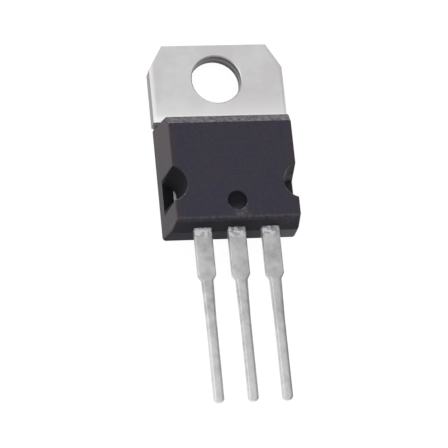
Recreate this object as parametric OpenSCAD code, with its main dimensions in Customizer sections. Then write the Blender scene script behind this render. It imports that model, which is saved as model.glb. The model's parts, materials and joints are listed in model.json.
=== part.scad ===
// Three-terminal voltage regulator in a through-hole power package.
// It lies on its back: the back of the metal tab is the plane z = 0, +Z leaves the
// moulded front, +Y runs towards the tab's free edge and the leads point along -Y.
// The origin is the centre of the mounting hole on the back face. Millimetres.

/* [Tab] */
// Width of the metal tab
tab_w = 10.25; // [10:0.05:10.4]
// Thickness of the tab and of the header that carries the chip
tab_t = 1.27; // [1.15:0.01:1.4]
// From the hole's centre to the tab's free edge
hole_to_top = 2.8; // [2.6:0.05:3]
// Diameter of the mounting hole
hole_d = 3.8; // [3.5:0.05:3.9]
// Corner cut, measured along the free edge
corner_cut_x = 1.1; // [0.4:0.05:1.6]
// Corner cut, measured along the side
corner_cut_y = 1.9; // [0.8:0.05:2.4]
// Radius of the stamped edges on the front of the tab
tab_edge_r = 0.12; // [0.04:0.01:0.15]
// Chamfer round the front rim of the mounting hole
hole_rim = 0.08; // [0.03:0.01:0.12]

/* [Header inside the moulding] */
// Step from the tab's side in to the header, between the plastic cheeks
shoulder_step = 0.975; // [0.85:0.005:1.4]
// Open slit between the tab's shoulders and the plastic cheeks
shoulder_gap = 0.24; // [0.1:0.01:0.5]
// Plastic foot between the header's end and the lead end of the body, on the back
foot_l = 1.25; // [1:0.05:1.5]
// Width of the recess in the header's end that the centre strap rises from
recess_w = 2.4; // [2:0.05:2.8]
// Flat stretch of the centre strap inside the header's recess
strap_foot = 0.3; // [0.1:0.01:0.4]
// Inner bend radius of the centre strap
strap_bend_r = 0.25; // [0.15:0.01:0.35]
// Slope of the centre strap between its two bends, in degrees
strap_angle = 55; // [50:1:60]
// Flat stretch of the centre strap between its upper bend and the lead end
strap_cover = 0.56; // [0.5:0.01:0.7]

/* [Moulded body] */
// From the hole's centre to the body's edge on the tab
hole_to_body = 3.65; // [3.55:0.05:3.8]
// Length of the body, from there to the parting line at the lead end
body_l = 9.05; // [8.8:0.05:9.4]
// Overall thickness, from the tab's back to the front face
body_t = 4.5; // [4.35:0.05:4.7]
// How far the body's sides stand in from the tab's sides, at the back
body_inset = 0.075; // [0.02:0.005:0.15]
// Lean of each side from the back up to the level of the tab's front
cheek_lean = 0.1; // [0.04:0.01:0.11]
// Lean of each side from the same level up to the front face
side_lean = 0.31; // [0.28:0.01:0.6]
// Height and depth of the bevel along the tab end of the front face
bevel = 0.8; // [0.4:0.05:1.1]
// Lean of the wall under the bevel
tab_end_lean = 0.31; // [0.1:0.01:0.5]
// Lean of the lead end from the parting line to the front face
lead_end_lean = 0.31; // [0.1:0.01:0.5]
// Lean of the lead end from the parting line to the back
foot_lean = 0.29; // [0.1:0.01:0.5]
// Radius of the upright corners at the lead end
corner_r = 0.25; // [0.1:0.01:0.5]
// Radius of the upright corners at the tab end
tab_end_corner_r = 0.16; // [0.08:0.01:0.3]
// Radius of the edges round the front face
front_edge_r = 0.12; // [0.04:0.01:0.2]

/* [Notches and pin mark] */
// From the tab's side line in to each side notch's centre
notch_inset = 0.125; // [-0.05:0.005:0.2]
// From the lead end to the notches' centre line
notch_from_end = 3.2; // [3:0.05:3.5]
// Radius of the notches at the front face
notch_front_r = 1.4; // [1.2:0.05:1.6]
// Radius of the notches at the header, where the mould's pins press
notch_floor_r = 1.05; // [0.9:0.05:1.2]
// Break of the notches' and the pin mark's rims
rim_break = 0.05; // [0.02:0.01:0.08]
// Diameter of the ejector pin's mark
mark_d = 1.45; // [1:0.05:1.8]
// Depth of the ejector pin's mark
mark_depth = 0.18; // [0.1:0.01:0.3]
// From the lead end to the mark's centre
mark_from_end = 1.7; // [1.5:0.05:2.1]

/* [Leads] */
// Distance between neighbouring leads
pitch = 2.54; // [2.4:0.01:2.7]
// Thickness of the leads
lead_t = 0.6; // [0.5:0.01:0.68]
// From the tab's back to the leads' back face
lead_z = 2.55; // [2.4:0.01:2.7]
// Width of the leads beside the body
wide_w = 1.35; // [1.15:0.01:1.55]
// Width of the part that goes through the board
narrow_w = 0.8; // [0.65:0.01:0.88]
// Length of the wide part outside the body
wide_l = 3.57; // [3.4:0.01:3.95]
// Length of the taper between the two widths
taper_l = 0.4; // [0.2:0.01:0.6]
// Length of the leads outside the body
lead_l = 13.3; // [13:0.05:14]
// Radius of the wide part's long edges
wide_edge_r = 0.1; // [0.04:0.01:0.14]
// Radius of the narrow part's long edges, which the dipped tin rounds off
narrow_edge_r = 0.16; // [0.08:0.01:0.2]
// Corner radius of the tips, seen from the front
tip_r = 0.3; // [0.1:0.01:0.32]
// Radius of the tips' edges, seen from the side
tip_edge_r = 0.2; // [0.08:0.01:0.24]
// Width of the outer leads' bond pads inside the body
pad_w = 2; // [1.8:0.05:2.2]
// Length of the bond pads
pad_l = 1.3; // [1:0.05:1.5]
// Plastic between the bond pads and the lead end
pad_cover = 0.6; // [0.5:0.05:0.8]

/* [Chip and wires] */
// Width of the chip
die_w = 2.2; // [1.6:0.05:2.8]
// Length of the chip
die_l = 2; // [1.5:0.05:2.2]
// Thickness of the chip
die_t = 0.3; // [0.2:0.01:0.4]
// From the body's tab end to the chip's centre
die_from_tab_end = 3.95; // [3.6:0.05:4.2]
// Thickness of the solder under the chip
solder_t = 0.05; // [0.03:0.005:0.08]
// Solder that shows round the chip
solder_lip = 0.12; // [0.05:0.01:0.2]
// Diameter of the bond wires
wire_d = 0.25; // [0.15:0.01:0.3]
// From the chip's edges to the centres of the wires' feet
die_pad_inset = 0.45; // [0.3:0.01:0.6]
// Length of each wire's pressed foot
wire_foot_l = 0.5; // [0.4:0.01:0.6]
// Width of each foot
wire_foot_w = 0.34; // [0.3:0.01:0.4]
// Thickness of each foot
wire_foot_t = 0.12; // [0.08:0.01:0.15]
// Angle at which the lead wires come down on the pads, in degrees
lead_wire_angle = 16; // [14:1:22]
// Angle at which the ground wire leaves the chip, in degrees
ground_wire_angle = 50; // [40:1:60]
// From the chip's edge to the ground wire's foot on the header
ground_reach = 1.2; // [1:0.05:1.6]

/* [Hidden] */
$fn = 64;

// Oversize of every cutting shape, so that no cut ends on a face
over = 0.4;
// Flat strips that stand for the arc of a small edge or corner
arc_steps = 4;
// Flat strips along each bend of the centre strap
bend_steps = 6;
// Reach of the strap into the header, and how far short of the lead end it joins the blade
strap_root = 0.4;
// Overlap that joins a blade with the strap or the pad behind it
blade_root = 0.2;
// Corner radius of the bond pads
pad_corner_r = 0.2;
// Reach, each way, of the cut that levels a wire's end with its pad
bond_reach = 3 * wire_d;

tab_color = "#c9c9c9";
tin_color = "#bdbdbd";
plastic_color = "#3b3944";
die_color = "#6d6a78";
solder_color = "#a9abad";
wire_color = "#d8d6d2";

header_w = tab_w - 2 * shoulder_step;
back_w = tab_w - 2 * body_inset;
waist_w = back_w - 2 * cheek_lean;
front_w = waist_w - 2 * side_lean;
body_tab_y = -hole_to_body;
shoulder_y = body_tab_y + shoulder_gap;
lead_end_y = body_tab_y - body_l;
front_lead_y = lead_end_y + lead_end_lean;
back_lead_y = lead_end_y + foot_lean;
bevel_y = body_tab_y - tab_end_lean;
front_tab_y = bevel_y - bevel;
bevel_z = body_t - bevel;
header_end_y = lead_end_y + foot_l;
strap_line_r = strap_bend_r + lead_t / 2;
strap_slope = (lead_z + lead_t - tab_t - 2 * strap_line_r * (1 - cos(strap_angle))) / sin(strap_angle);
strap_head_y = lead_end_y + strap_cover;
strap_foot_y = strap_head_y + 2 * strap_line_r * sin(strap_angle) + strap_slope * cos(strap_angle);
strap_start_y = strap_foot_y + strap_foot;
lead_front_z = lead_z + lead_t;
wide_end_y = lead_end_y - wide_l;
tip_y = lead_end_y - lead_l;
pad_start_y = lead_end_y + pad_cover;
pad_end_y = pad_start_y + pad_l;
die_y = body_tab_y - die_from_tab_end;
die_z = tab_t + solder_t;
die_top = die_z + die_t;
mark_y = lead_end_y + mark_from_end;
notch_x = tab_w / 2 - notch_inset;
notch_y = lead_end_y + notch_from_end;

// Vector helpers
function unit(v) = v / norm(v);
function flip(v, side) = [side * v.x, v.y, v.z];

// Outline with every corner rounded: points run counter-clockwise and each has its radius
function corner_arc(a, b, c, r) =
    let (u = unit(a - b), v = unit(c - b))
    let (half = acos(u * v) / 2)
    let (centre = b + unit(u + v) * r / sin(half))
    let (from = b + u * r / tan(half), to = b + v * r / tan(half))
    let (a0 = atan2(from.y - centre.y, from.x - centre.x))
    let (a1 = atan2(to.y - centre.y, to.x - centre.x))
    let (sweep = a1 - a0 > 180 ? a1 - a0 - 360 : a1 - a0 < -180 ? a1 - a0 + 360 : a1 - a0)
    [for (i = [0:arc_steps])
        let (t = a0 + sweep * i / arc_steps)
        centre + r * [cos(t), sin(t)]];

function rounded_outline(points, radii) =
    let (n = len(points))
    [for (i = [0:n - 1])
        each radii[i] == 0
            ? [points[i]]
            : corner_arc(points[(i + n - 1) % n], points[i], points[(i + 1) % n], radii[i])];

// Prism whose outline is drawn in Y and Z and that runs across the part
module across(width) {
    rotate([90, 0, 90])
        linear_extrude(width, center = true)
            children();
}

// Prism whose outline is drawn in X and Z and that runs from y0 up to y1
module along(y0, y1) {
    translate([0, y1, 0])
        rotate([90, 0, 0])
            linear_extrude(y1 - y0)
                children();
}

// What comes off a straight edge from p to q, between faces with normals n1 and n2,
// to leave it with radius r
module edge_shaving(p, q, n1, n2, r) {
    w = unit(q - p);
    u = unit(n1 + n2);
    v = cross(w, u);
    half = acos(n1 * n2) / 2;
    centre = -r / cos(half);
    outer = over / cos(half);
    multmatrix([[u.x, v.x, w.x, p.x], [u.y, v.y, w.y, p.y], [u.z, v.z, w.z, p.z]])
        translate([0, 0, -over])
            linear_extrude(norm(q - p) + 2 * over)
                polygon([
                    [centre + (r + over) * cos(half), (r + over) * sin(half)],
                    for (i = [0:arc_steps])
                        let (t = half - 2 * half * i / arc_steps)
                        [centre + r * cos(t), r * sin(t)],
                    [centre + (r + over) * cos(half), -(r + over) * sin(half)],
                    [outer, 0]
                ]);
}

// Tab plate with its header, seen from the front
function tab_outline() =
    let (top = hole_to_top, wide = tab_w / 2, slim = header_w / 2, slot = recess_w / 2)
    [[slot, header_end_y], [slim, header_end_y], [slim, shoulder_y], [wide, shoulder_y],
     [wide, top - corner_cut_y], [wide - corner_cut_x, top],
     [corner_cut_x - wide, top], [-wide, top - corner_cut_y],
     [-wide, shoulder_y], [-slim, shoulder_y], [-slim, header_end_y], [-slot, header_end_y],
     [-slot, strap_start_y], [slot, strap_start_y]];

// The punched outline's front edges and the front rim of its hole are rolled over
module tab_plate() {
    top = hole_to_top;
    wide = tab_w / 2;
    side_foot = [wide, shoulder_y, tab_t];
    side_top = [wide, top - corner_cut_y, tab_t];
    top_corner = [wide - corner_cut_x, top, tab_t];
    cut_normal = unit([corner_cut_y, corner_cut_x, 0]);
    difference() {
        linear_extrude(tab_t)
            polygon(tab_outline());
        for (side = [-1, 1]) {
            edge_shaving(flip(side_foot, side), flip(side_top, side),
                         [side, 0, 0], [0, 0, 1], tab_edge_r);
            edge_shaving(flip(side_top, side), flip(top_corner, side),
                         flip(cut_normal, side), [0, 0, 1], tab_edge_r);
        }
        edge_shaving(flip(top_corner, -1), top_corner, [0, 1, 0], [0, 0, 1], tab_edge_r);
        translate([0, 0, -over])
            cylinder(d = hole_d, h = tab_t + 2 * over);
        translate([0, 0, tab_t - hole_rim])
            cylinder(d1 = hole_d, d2 = hole_d + 2 * (hole_rim + over), h = hole_rim + over);
    }
}

// Strap that steps up from the header's front surface to the plane of the leads.
// Its outline runs along the front face of the strap and comes back along the other face.
module centre_strap() {
    low_centre = [strap_foot_y, tab_t - lead_t / 2 + strap_line_r];
    high_centre = [strap_head_y, lead_z + lead_t / 2 - strap_line_r];
    outer_r = strap_bend_r + lead_t;
    across(wide_w)
        polygon([
            [strap_start_y + strap_root, tab_t],
            for (t = bend_angles()) low_centre - strap_bend_r * [sin(t), cos(t)],
            for (t = reversed(bend_angles())) high_centre + outer_r * [sin(t), cos(t)],
            [lead_end_y + strap_root, lead_front_z],
            [lead_end_y + strap_root, lead_z],
            for (t = bend_angles()) high_centre + strap_bend_r * [sin(t), cos(t)],
            for (t = reversed(bend_angles())) low_centre - outer_r * [sin(t), cos(t)],
            [strap_start_y + strap_root, tab_t - lead_t]
        ]);
}

function bend_angles() = [for (i = [0:bend_steps]) strap_angle * i / bend_steps];
function reversed(list) = [for (i = [len(list) - 1:-1:0]) list[i]];

// Section of a lead across its length
module lead_section(width, r) {
    half = width / 2;
    polygon(rounded_outline(
        [[-half, lead_z], [half, lead_z], [half, lead_front_z], [-half, lead_front_z]],
        [r, r, r, r]));
}

// Straight blade of a lead: wide beside the body, tapered to the width that enters the
// board, with a rounded tip
module lead_blade(x, inner_y) {
    narrow_y = wide_end_y - taper_l;
    half = narrow_w / 2;
    translate([x, 0, 0]) {
        along(wide_end_y, inner_y)
            lead_section(wide_w, wide_edge_r);
        translate([0, 0, lead_z])
            linear_extrude(lead_t)
                polygon([[-wide_w / 2, wide_end_y], [-half, narrow_y], [half, narrow_y],
                         [wide_w / 2, wide_end_y]]);
        intersection() {
            along(tip_y, narrow_y)
                lead_section(narrow_w, narrow_edge_r);
            translate([0, 0, lead_z - over])
                linear_extrude(lead_t + 2 * over)
                    polygon(rounded_outline(
                        [[-half, tip_y], [half, tip_y], [half, narrow_y + over], [-half, narrow_y + over]],
                        [tip_r, tip_r, 0, 0]));
            across(narrow_w + 2 * over)
                polygon(rounded_outline(
                    [[tip_y, lead_z], [narrow_y + over, lead_z], [narrow_y + over, lead_front_z],
                     [tip_y, lead_front_z]],
                    [tip_edge_r, 0, 0, tip_edge_r]));
        }
    }
}

// Outer lead, which widens inside the body into the pad that a wire is bonded to
module outer_lead(side) {
    lead_blade(side * pitch, pad_start_y + blade_root);
    half = pad_w / 2;
    translate([side * pitch, 0, lead_z])
        linear_extrude(lead_t)
            polygon(rounded_outline(
                [[-half, pad_start_y], [half, pad_start_y], [half, pad_end_y], [-half, pad_end_y]],
                [pad_corner_r, pad_corner_r, pad_corner_r, pad_corner_r]));
}

// Half width of the body, and place of its lead end, at a height above the back
function half_w(z) =
    z > tab_t ? waist_w / 2 - side_lean * (z - tab_t) / (body_t - tab_t)
              : back_w / 2 - cheek_lean * z / tab_t;
function lead_end(z) =
    z > lead_z ? lead_end_y + lead_end_lean * (z - lead_z) / (body_t - lead_z)
               : lead_end_y + foot_lean * (lead_z - z) / lead_z;
function lead_corner(z) = [half_w(z), lead_end(z), z];

// Drafted block: every wall leans so that the moulding leaves its mould, and the lead end
// parts at the leads' back face
module body_blank() {
    side_n = unit([body_t - tab_t, 0, side_lean]);
    cheek_n = unit([tab_t, 0, cheek_lean]);
    lead_end_n = unit([0, lead_z - body_t, lead_end_lean]);
    foot_n = unit([0, -lead_z, -foot_lean]);
    bevel_n = unit([0, 1, 1]);
    tab_end_n = unit([0, bevel_z - tab_t, tab_end_lean]);
    front_n = [0, 0, 1];
    front_corner = [half_w(body_t), front_tab_y, body_t];
    bevel_corner = [half_w(bevel_z), bevel_y, bevel_z];
    tab_corner = [half_w(tab_t), body_tab_y, tab_t];
    side_edges = [
        [lead_corner(body_t), lead_corner(lead_z), side_n, lead_end_n, corner_r],
        [lead_corner(lead_z), lead_corner(tab_t), side_n, foot_n, corner_r],
        [lead_corner(tab_t), lead_corner(0), cheek_n, foot_n, corner_r],
        [front_corner, bevel_corner, side_n, bevel_n, tab_end_corner_r],
        [bevel_corner, tab_corner, side_n, tab_end_n, tab_end_corner_r],
        [lead_corner(body_t), front_corner, side_n, front_n, front_edge_r]
    ];
    difference() {
        intersection() {
            across(back_w + 2 * over)
                polygon([[back_lead_y, 0], [lead_end_y, lead_z], [front_lead_y, body_t],
                         [front_tab_y, body_t], [bevel_y, bevel_z], [body_tab_y, tab_t],
                         [body_tab_y, 0]]);
            along(lead_end_y - over, body_tab_y + over)
                polygon([[-back_w / 2, 0], [back_w / 2, 0], [waist_w / 2, tab_t],
                         [front_w / 2, body_t], [-front_w / 2, body_t], [-waist_w / 2, tab_t]]);
        }
        for (side = [-1, 1], e = side_edges)
            edge_shaving(flip(e[0], side), flip(e[1], side), flip(e[2], side), flip(e[3], side), e[4]);
        edge_shaving(flip(lead_corner(body_t), -1), lead_corner(body_t),
                     lead_end_n, front_n, front_edge_r);
        edge_shaving(flip(front_corner, -1), front_corner, bevel_n, front_n, front_edge_r);
        edge_shaving(flip(bevel_corner, -1), bevel_corner, bevel_n, tab_end_n, front_edge_r);
    }
}

// Tapered half-round notch, open to the side, where a mould pin holds the header down
module side_notch(side) {
    lean = (notch_front_r - notch_floor_r) / (body_t - tab_t);
    translate([side * notch_x, notch_y, tab_t])
        cylinder(r1 = notch_floor_r, r2 = notch_front_r + lean * over, h = body_t - tab_t + over);
    translate([side * notch_x, notch_y, body_t - rim_break])
        cylinder(r1 = notch_front_r, r2 = notch_front_r + rim_break + over, h = rim_break + over);
}

module pin_mark() {
    translate([0, mark_y, body_t - mark_depth])
        cylinder(d = mark_d, h = mark_depth + over);
    translate([0, mark_y, body_t - rim_break])
        cylinder(d1 = mark_d, d2 = mark_d + 2 * (rim_break + over), h = rim_break + over);
}

// Wire between two pads: one arc in an upright plane, which leaves the first pad at the
// given angle, with a pressed foot at each end
module bond_wire(from, to, rise) {
    plan = norm([to.x - from.x, to.y - from.y]);
    lift = to.z - from.z;
    half_turn = rise - climb(from, to);
    r = norm([plan, lift]) / 2 / sin(half_turn);
    sunk = wire_d / r * 180 / PI;
    translate(from)
        rotate([0, 0, atan2(to.y - from.y, to.x - from.x)]) {
            difference() {
                translate([r * sin(rise), 0, -r * cos(rise)])
                    rotate([90, 0, 0])
                        rotate([0, 0, 90 + rise - 2 * half_turn - sunk])
                            rotate_extrude(angle = 2 * (half_turn + sunk))
                                translate([r, 0])
                                    circle(d = wire_d);
                for (end = [[0, 0, 0], [plan, 0, lift]])
                    translate(end - [bond_reach, wire_d, 2 * wire_d])
                        cube([2 * bond_reach, 2 * wire_d, 2 * wire_d]);
            }
            for (end = [[0, 0, 0], [plan, 0, lift]])
                translate(end)
                    wire_foot();
        }
}

// Slope of the straight line between two pads
function climb(from, to) = atan2(to.z - from.z, norm([to.x - from.x, to.y - from.y]));

module wire_foot() {
    l = wire_foot_l / 2;
    w = wire_foot_w / 2;
    corner = w / 2;
    linear_extrude(wire_foot_t)
        polygon(rounded_outline([[-l, -w], [l, -w], [l, w], [-l, w]],
                                [corner, corner, corner, corner]));
}

// Places on the chip and on the pads that the wires are bonded to
function die_bond(side) =
    [side * (die_w / 2 - die_pad_inset), die_y - die_l / 2 + die_pad_inset, die_top];
function lead_bond(side) = [side * pitch, pad_start_y + pad_l / 2, lead_front_z];

module lead_wire(side) {
    rise = lead_wire_angle + 2 * climb(die_bond(side), lead_bond(side));
    bond_wire(die_bond(side), lead_bond(side), rise);
}

module ground_wire() {
    edge_y = die_y + die_l / 2;
    bond_wire([0, edge_y - die_pad_inset, die_top], [0, edge_y + ground_reach, tab_t],
              ground_wire_angle);
}

module chip() {
    translate([-die_w / 2, die_y - die_l / 2, die_z])
        cube([die_w, die_l, die_t]);
}

module solder() {
    w = die_w + 2 * solder_lip;
    l = die_l + 2 * solder_lip;
    translate([-w / 2, die_y - l / 2, tab_t])
        cube([w, l, solder_t]);
}

module frame_piece() {
    tab_plate();
    centre_strap();
    lead_blade(0, lead_end_y + strap_root + blade_root);
}

module tab_and_centre_lead() {
    color(tab_color)
        union() frame_piece();
}

module input_lead() {
    color(tin_color)
        union() outer_lead(-1);
}

module output_lead() {
    color(tin_color)
        union() outer_lead(1);
}

// The moulding fills everything round the metal, the chip and the wires
module moulded_body() {
    color(plastic_color)
        difference() {
            body_blank();
            for (side = [-1, 1]) {
                side_notch(side);
                outer_lead(side);
                lead_wire(side);
            }
            pin_mark();
            frame_piece();
            chip();
            solder();
            ground_wire();
        }
}

module regulator_die() {
    color(die_color)
        chip();
}

module die_attach_solder() {
    color(solder_color)
        solder();
}

module input_bond_wire() {
    color(wire_color)
        lead_wire(-1);
}

module output_bond_wire() {
    color(wire_color)
        lead_wire(1);
}

module ground_bond_wire() {
    color(wire_color)
        ground_wire();
}

tab_and_centre_lead();
input_lead();
output_lead();
moulded_body();
regulator_die();
die_attach_solder();
input_bond_wire();
output_bond_wire();
ground_bond_wire();
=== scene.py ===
"""Finish of a through-hole voltage regulator: tinned tab and leads round a moulded body.

The part lies on its back. +Z leaves the moulded front, +Y runs to the tab's free edge
and the leads point along -Y. Lengths are in metres.
"""
import json
import math

import bmesh
import bpy
from mathutils import Matrix, Vector


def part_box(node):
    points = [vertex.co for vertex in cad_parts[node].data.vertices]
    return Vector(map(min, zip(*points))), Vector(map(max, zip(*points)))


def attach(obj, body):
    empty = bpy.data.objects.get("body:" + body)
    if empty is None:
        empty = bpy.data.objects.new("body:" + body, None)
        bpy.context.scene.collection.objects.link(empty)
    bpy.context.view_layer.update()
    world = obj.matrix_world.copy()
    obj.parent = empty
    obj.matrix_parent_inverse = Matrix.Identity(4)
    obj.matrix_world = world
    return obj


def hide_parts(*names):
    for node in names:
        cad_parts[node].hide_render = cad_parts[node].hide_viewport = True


bl_info = {
    "name": "Voltage regulator finish",
    "version": (1, 0, 0),
    "blender": (4, 5, 0),
    "location": "View3D > Sidebar > Regulator",
    "description": "Builds the tab, leads, moulding, flash and studio of a voltage regulator",
    "category": "Object",
}

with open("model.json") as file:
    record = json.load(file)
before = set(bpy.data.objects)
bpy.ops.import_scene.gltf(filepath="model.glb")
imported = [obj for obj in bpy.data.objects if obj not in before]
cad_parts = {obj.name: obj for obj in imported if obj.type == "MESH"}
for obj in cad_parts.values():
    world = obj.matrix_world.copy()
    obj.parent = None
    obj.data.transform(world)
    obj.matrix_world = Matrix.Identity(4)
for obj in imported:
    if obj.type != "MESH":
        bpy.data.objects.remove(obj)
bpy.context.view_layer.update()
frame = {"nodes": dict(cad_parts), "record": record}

MM = 0.001
BODY = "root"

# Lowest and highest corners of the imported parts, which most sizes below come from
TAB_LOW, TAB_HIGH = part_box("tab_and_centre_lead")
LEAD_LOW, LEAD_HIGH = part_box("output_lead")
CASE_LOW, CASE_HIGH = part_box("moulded_body")
HOLE_R = frame["record"]["mounts"][0]["dims"]["r_mm"] * MM
# Distance between neighbouring leads, the body's lead end, and the height of the tab's front
PITCH = (LEAD_LOW.x + LEAD_HIGH.x) / 2
LEAD_END = CASE_LOW.y
TAB_FRONT = 1.27 * MM

# The tab's cut corners: what each takes off the side and off the end in mm, the way that
# it faces, and how far out it lies
CUT_SIDE, CUT_END = 1.9, 1.1
CUT_NORMAL = Vector((CUT_SIDE, CUT_END, 0)).normalized()
CUT_REACH = CUT_NORMAL.dot((TAB_HIGH.x, TAB_HIGH.y - CUT_SIDE * MM, 0))

# Places on the moulding that its finish follows: half the width of the front, the front's
# edge at the lead end, the mark of the ejector pin, and the two notches
FRONT_HALF = 4.64 * MM
FRONT_END = LEAD_END + 0.31 * MM
MARK_Y = LEAD_END + 1.7 * MM
MARK_R = 0.725 * MM
NOTCH_X = 5.0 * MM
NOTCH_Y = LEAD_END + 3.2 * MM
NOTCH_R = 1.4 * MM
# Width over which the painted shade on a pin's wall ends at its rim
RIM = 0.02 * MM

# Welding distance of loose triangles, and the angle above which an edge stays sharp
WELD = 0.0005 * MM
SHARP = math.radians(30)


# Settings that a user would change


def linear(hex_code):
    """Linear red, green, blue and alpha of an sRGB hex colour."""
    parts = [int(hex_code[i:i + 2], 16) / 255 for i in (1, 3, 5)]
    return (*[p / 12.92 if p <= 0.04045 else ((p + 0.055) / 1.055) ** 2.4 for p in parts], 1.0)


def length(name, description, value):
    """Setting for a length in metres."""
    return bpy.props.FloatProperty(
        name=name, description=description, default=value, min=0.0, precision=5,
        subtype="DISTANCE", unit="LENGTH")


def colour(name, description, hex_code):
    """Setting for a colour."""
    return bpy.props.FloatVectorProperty(
        name=name, description=description, default=linear(hex_code), size=4,
        min=0.0, max=1.0, subtype="COLOR")


class RegulatorLeads(bpy.types.PropertyGroup):
    """Sizes and finishes of the three leads"""
    wide: length("Wide part", "Width of a lead beside the body", 1.35 * MM)
    narrow: length("Narrow part", "Width that goes through the board", 0.8 * MM)
    wide_length: length("Wide length", "Length of the wide part outside the body", 3.57 * MM)
    taper: length("Taper", "Length of the taper between the two widths", 0.4 * MM)
    pad_length: length("Bond pad", "Length of the pad inside the body", 1.3 * MM)
    edge: length("Edge radius", "Radius of the edges of the wide part", 0.12 * MM)
    dipped_edge: length("Dipped edge", "Radius of the edges under the dipped tin", 0.24 * MM)
    tip: length("Tip radius", "Corner radius of the tips, seen from the front", 0.3 * MM)
    tip_edge: length("Tip edge", "Radius of the tips' edges, seen from the side", 0.2 * MM)
    lumps: length("Lumps", "Unevenness of the dipped tin", 0.015 * MM)
    swell: length("Swell", "Tin gathered on each side of the narrow part, at its shoulder",
                  0.06 * MM)
    swell_length: length("Swell length", "Length over which that tin thins out", 3.0 * MM)
    tin: colour("Tin", "Dipped tin beside the body", "#c2c1c2")
    dull_tin: colour("Dull tin", "Duller patches of the dipped tin", "#a6a5a6")
    tip_tin: colour("Tip tin", "Thicker, paler tin towards the tips", "#cfcdce")
    # The Glint colour paints highlights where a lead leaves the body
    painted_glint: colour("Glint", "Tin burnished by the mould where a lead leaves the body", "#fefcff")
    fleck: colour("Fleck", "Dark resin stains among the glints", "#8d8b90")


class RegulatorTab(bpy.types.PropertyGroup):
    """Finishes of the tab"""
    tin: colour("Tin plate", "Plated front and back of the tab", "#cdcecd")
    warm_tin: colour("Warm tin", "Warmer, duller patches of the plating", "#c8c5c6")
    # The Cleaned tin and Blasted tin colours are painted highlights: a pale sheen on the front
    # beside the body, the Blasted one also along the left side
    near_body_sheen: colour("Cleaned tin", "Paler plating by the body, where resin was blasted off",
                    "#e6e5e6")
    blasted: colour("Blasted tin", "Palest plating, right against the body", "#f1eff1")
    sheared: colour("Sheared wall", "Smooth stretch of the punched walls", "#868585")
    torn: colour("Torn wall", "Rough stretches of the punched walls", "#3c3b3b")


class RegulatorCase(bpy.types.PropertyGroup):
    """Finishes of the moulding, and sizes of its flash"""
    epoxy: colour("Epoxy", "Black moulding compound", "#282537")
    warm_epoxy: colour("Warm epoxy", "Browner patches of the compound", "#2e292d")
    plum_epoxy: colour("Plum epoxy", "Redder patches on the sides", "#352730")
    # The Scuffed epoxy colour is for real scuffs and also for the painted highlights on the tab-end
    # bevel, the front's lead-end edge and below the pin's mark
    scuff_and_sheen: colour("Scuffed epoxy", "Paler scuffs, mostly along the edges", "#716d70")
    # The Polished epoxy colour is painted shade, near black, in the pins' recesses and on the lead
    # end
    shaded: colour("Polished epoxy", "Walls that the mould's pins polished, and the lead end",
                   "#0b0a15")
    broken: colour("Broken resin", "Resin left in the tab's slits, broken off pale", "#747274")
    flash: length("Flash", "Height of the flash on the mould's parting line", 0.03 * MM)
    slit_flash_and_shade: length("Slit flash", "Radius of the resin in the tab's slits", 0.14 * MM)


class RegulatorStudio(bpy.types.PropertyGroup):
    """Camera and light"""
    lens: bpy.props.FloatProperty(
        name="Lens", description="Focal length in mm on a 36 mm sensor", default=254.21, min=1.0)
    roll: bpy.props.FloatProperty(
        name="Roll", description="Turn of the camera about its line of sight",
        default=math.radians(25.808), subtype="ANGLE", unit="ROTATION")
    key: bpy.props.FloatProperty(
        name="Key light", description="Radiant power of the soft light over the tab end",
        default=0.8, min=0.0, unit="POWER")
    sky: bpy.props.FloatProperty(
        name="Sky", description="Strength of the even light from all round", default=0.78, min=0.0)


# Nodes and meshes


def add(tree, kind, inputs=(), **settings):
    """Adds a node with its settings, and values or other nodes' outputs as its inputs."""
    made = tree.nodes.new(kind)
    for name, value in settings.items():
        setattr(made, name, value)
    for key, value in inputs.items() if isinstance(inputs, dict) else enumerate(inputs):
        if isinstance(value, bpy.types.NodeSocket):
            tree.links.new(value, made.inputs[key])
        else:
            made.inputs[key].default_value = value
    return next((socket for socket in made.outputs if not socket.is_unavailable), None)


def new_tree(name, sizes, geometry=()):
    """Geometry Nodes tree with named inputs, and the outputs of its input node."""
    tree = bpy.data.node_groups.new(name, "GeometryNodeTree")
    for kind, names in (("Geometry", geometry), ("Float", sizes), ("Material", ["Material"])):
        for socket in names:
            tree.interface.new_socket(name=socket, in_out="INPUT", socket_type="NodeSocket" + kind)
    tree.interface.new_socket(name="Piece", in_out="OUTPUT", socket_type="NodeSocketGeometry")
    return tree, tree.nodes.new("NodeGroupInput").outputs


def finish_tree(tree, shape, given):
    """Ends a tree as a plain mesh in its material."""
    real = add(tree, "GeometryNodeRealizeInstances", {"Geometry": shape})
    coloured = add(tree, "GeometryNodeSetMaterial",
                   {"Geometry": real, "Material": given["Material"]})
    add(tree, "NodeGroupOutput", {"Piece": coloured})
    return tree


def grow(name, tree, values, start=None):
    """Mesh that a Geometry Nodes tree makes from these inputs, and from a start mesh."""
    obj = mesh_object(name, start or bpy.data.meshes.new(name))
    modifier = obj.modifiers.new("grow", "NODES")
    modifier.node_group = tree
    for item in tree.interface.items_tree:
        if item.in_out == "INPUT" and item.name in values:
            modifier[item.identifier] = values[item.name]
    mesh = evaluated(obj)
    remove(obj)
    return mesh


def mesh_object(name, mesh):
    """New object in the scene for a mesh."""
    obj = bpy.data.objects.new(name, mesh)
    bpy.context.scene.collection.objects.link(obj)
    return obj


def evaluated(obj):
    """Plain mesh of an object with its modifiers applied."""
    depsgraph = bpy.context.evaluated_depsgraph_get()
    return bpy.data.meshes.new_from_object(obj.evaluated_get(depsgraph))


def remove(obj):
    """Takes an object and its mesh out of the file."""
    mesh = obj.data
    bpy.data.objects.remove(obj)
    bpy.data.meshes.remove(mesh)


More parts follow.
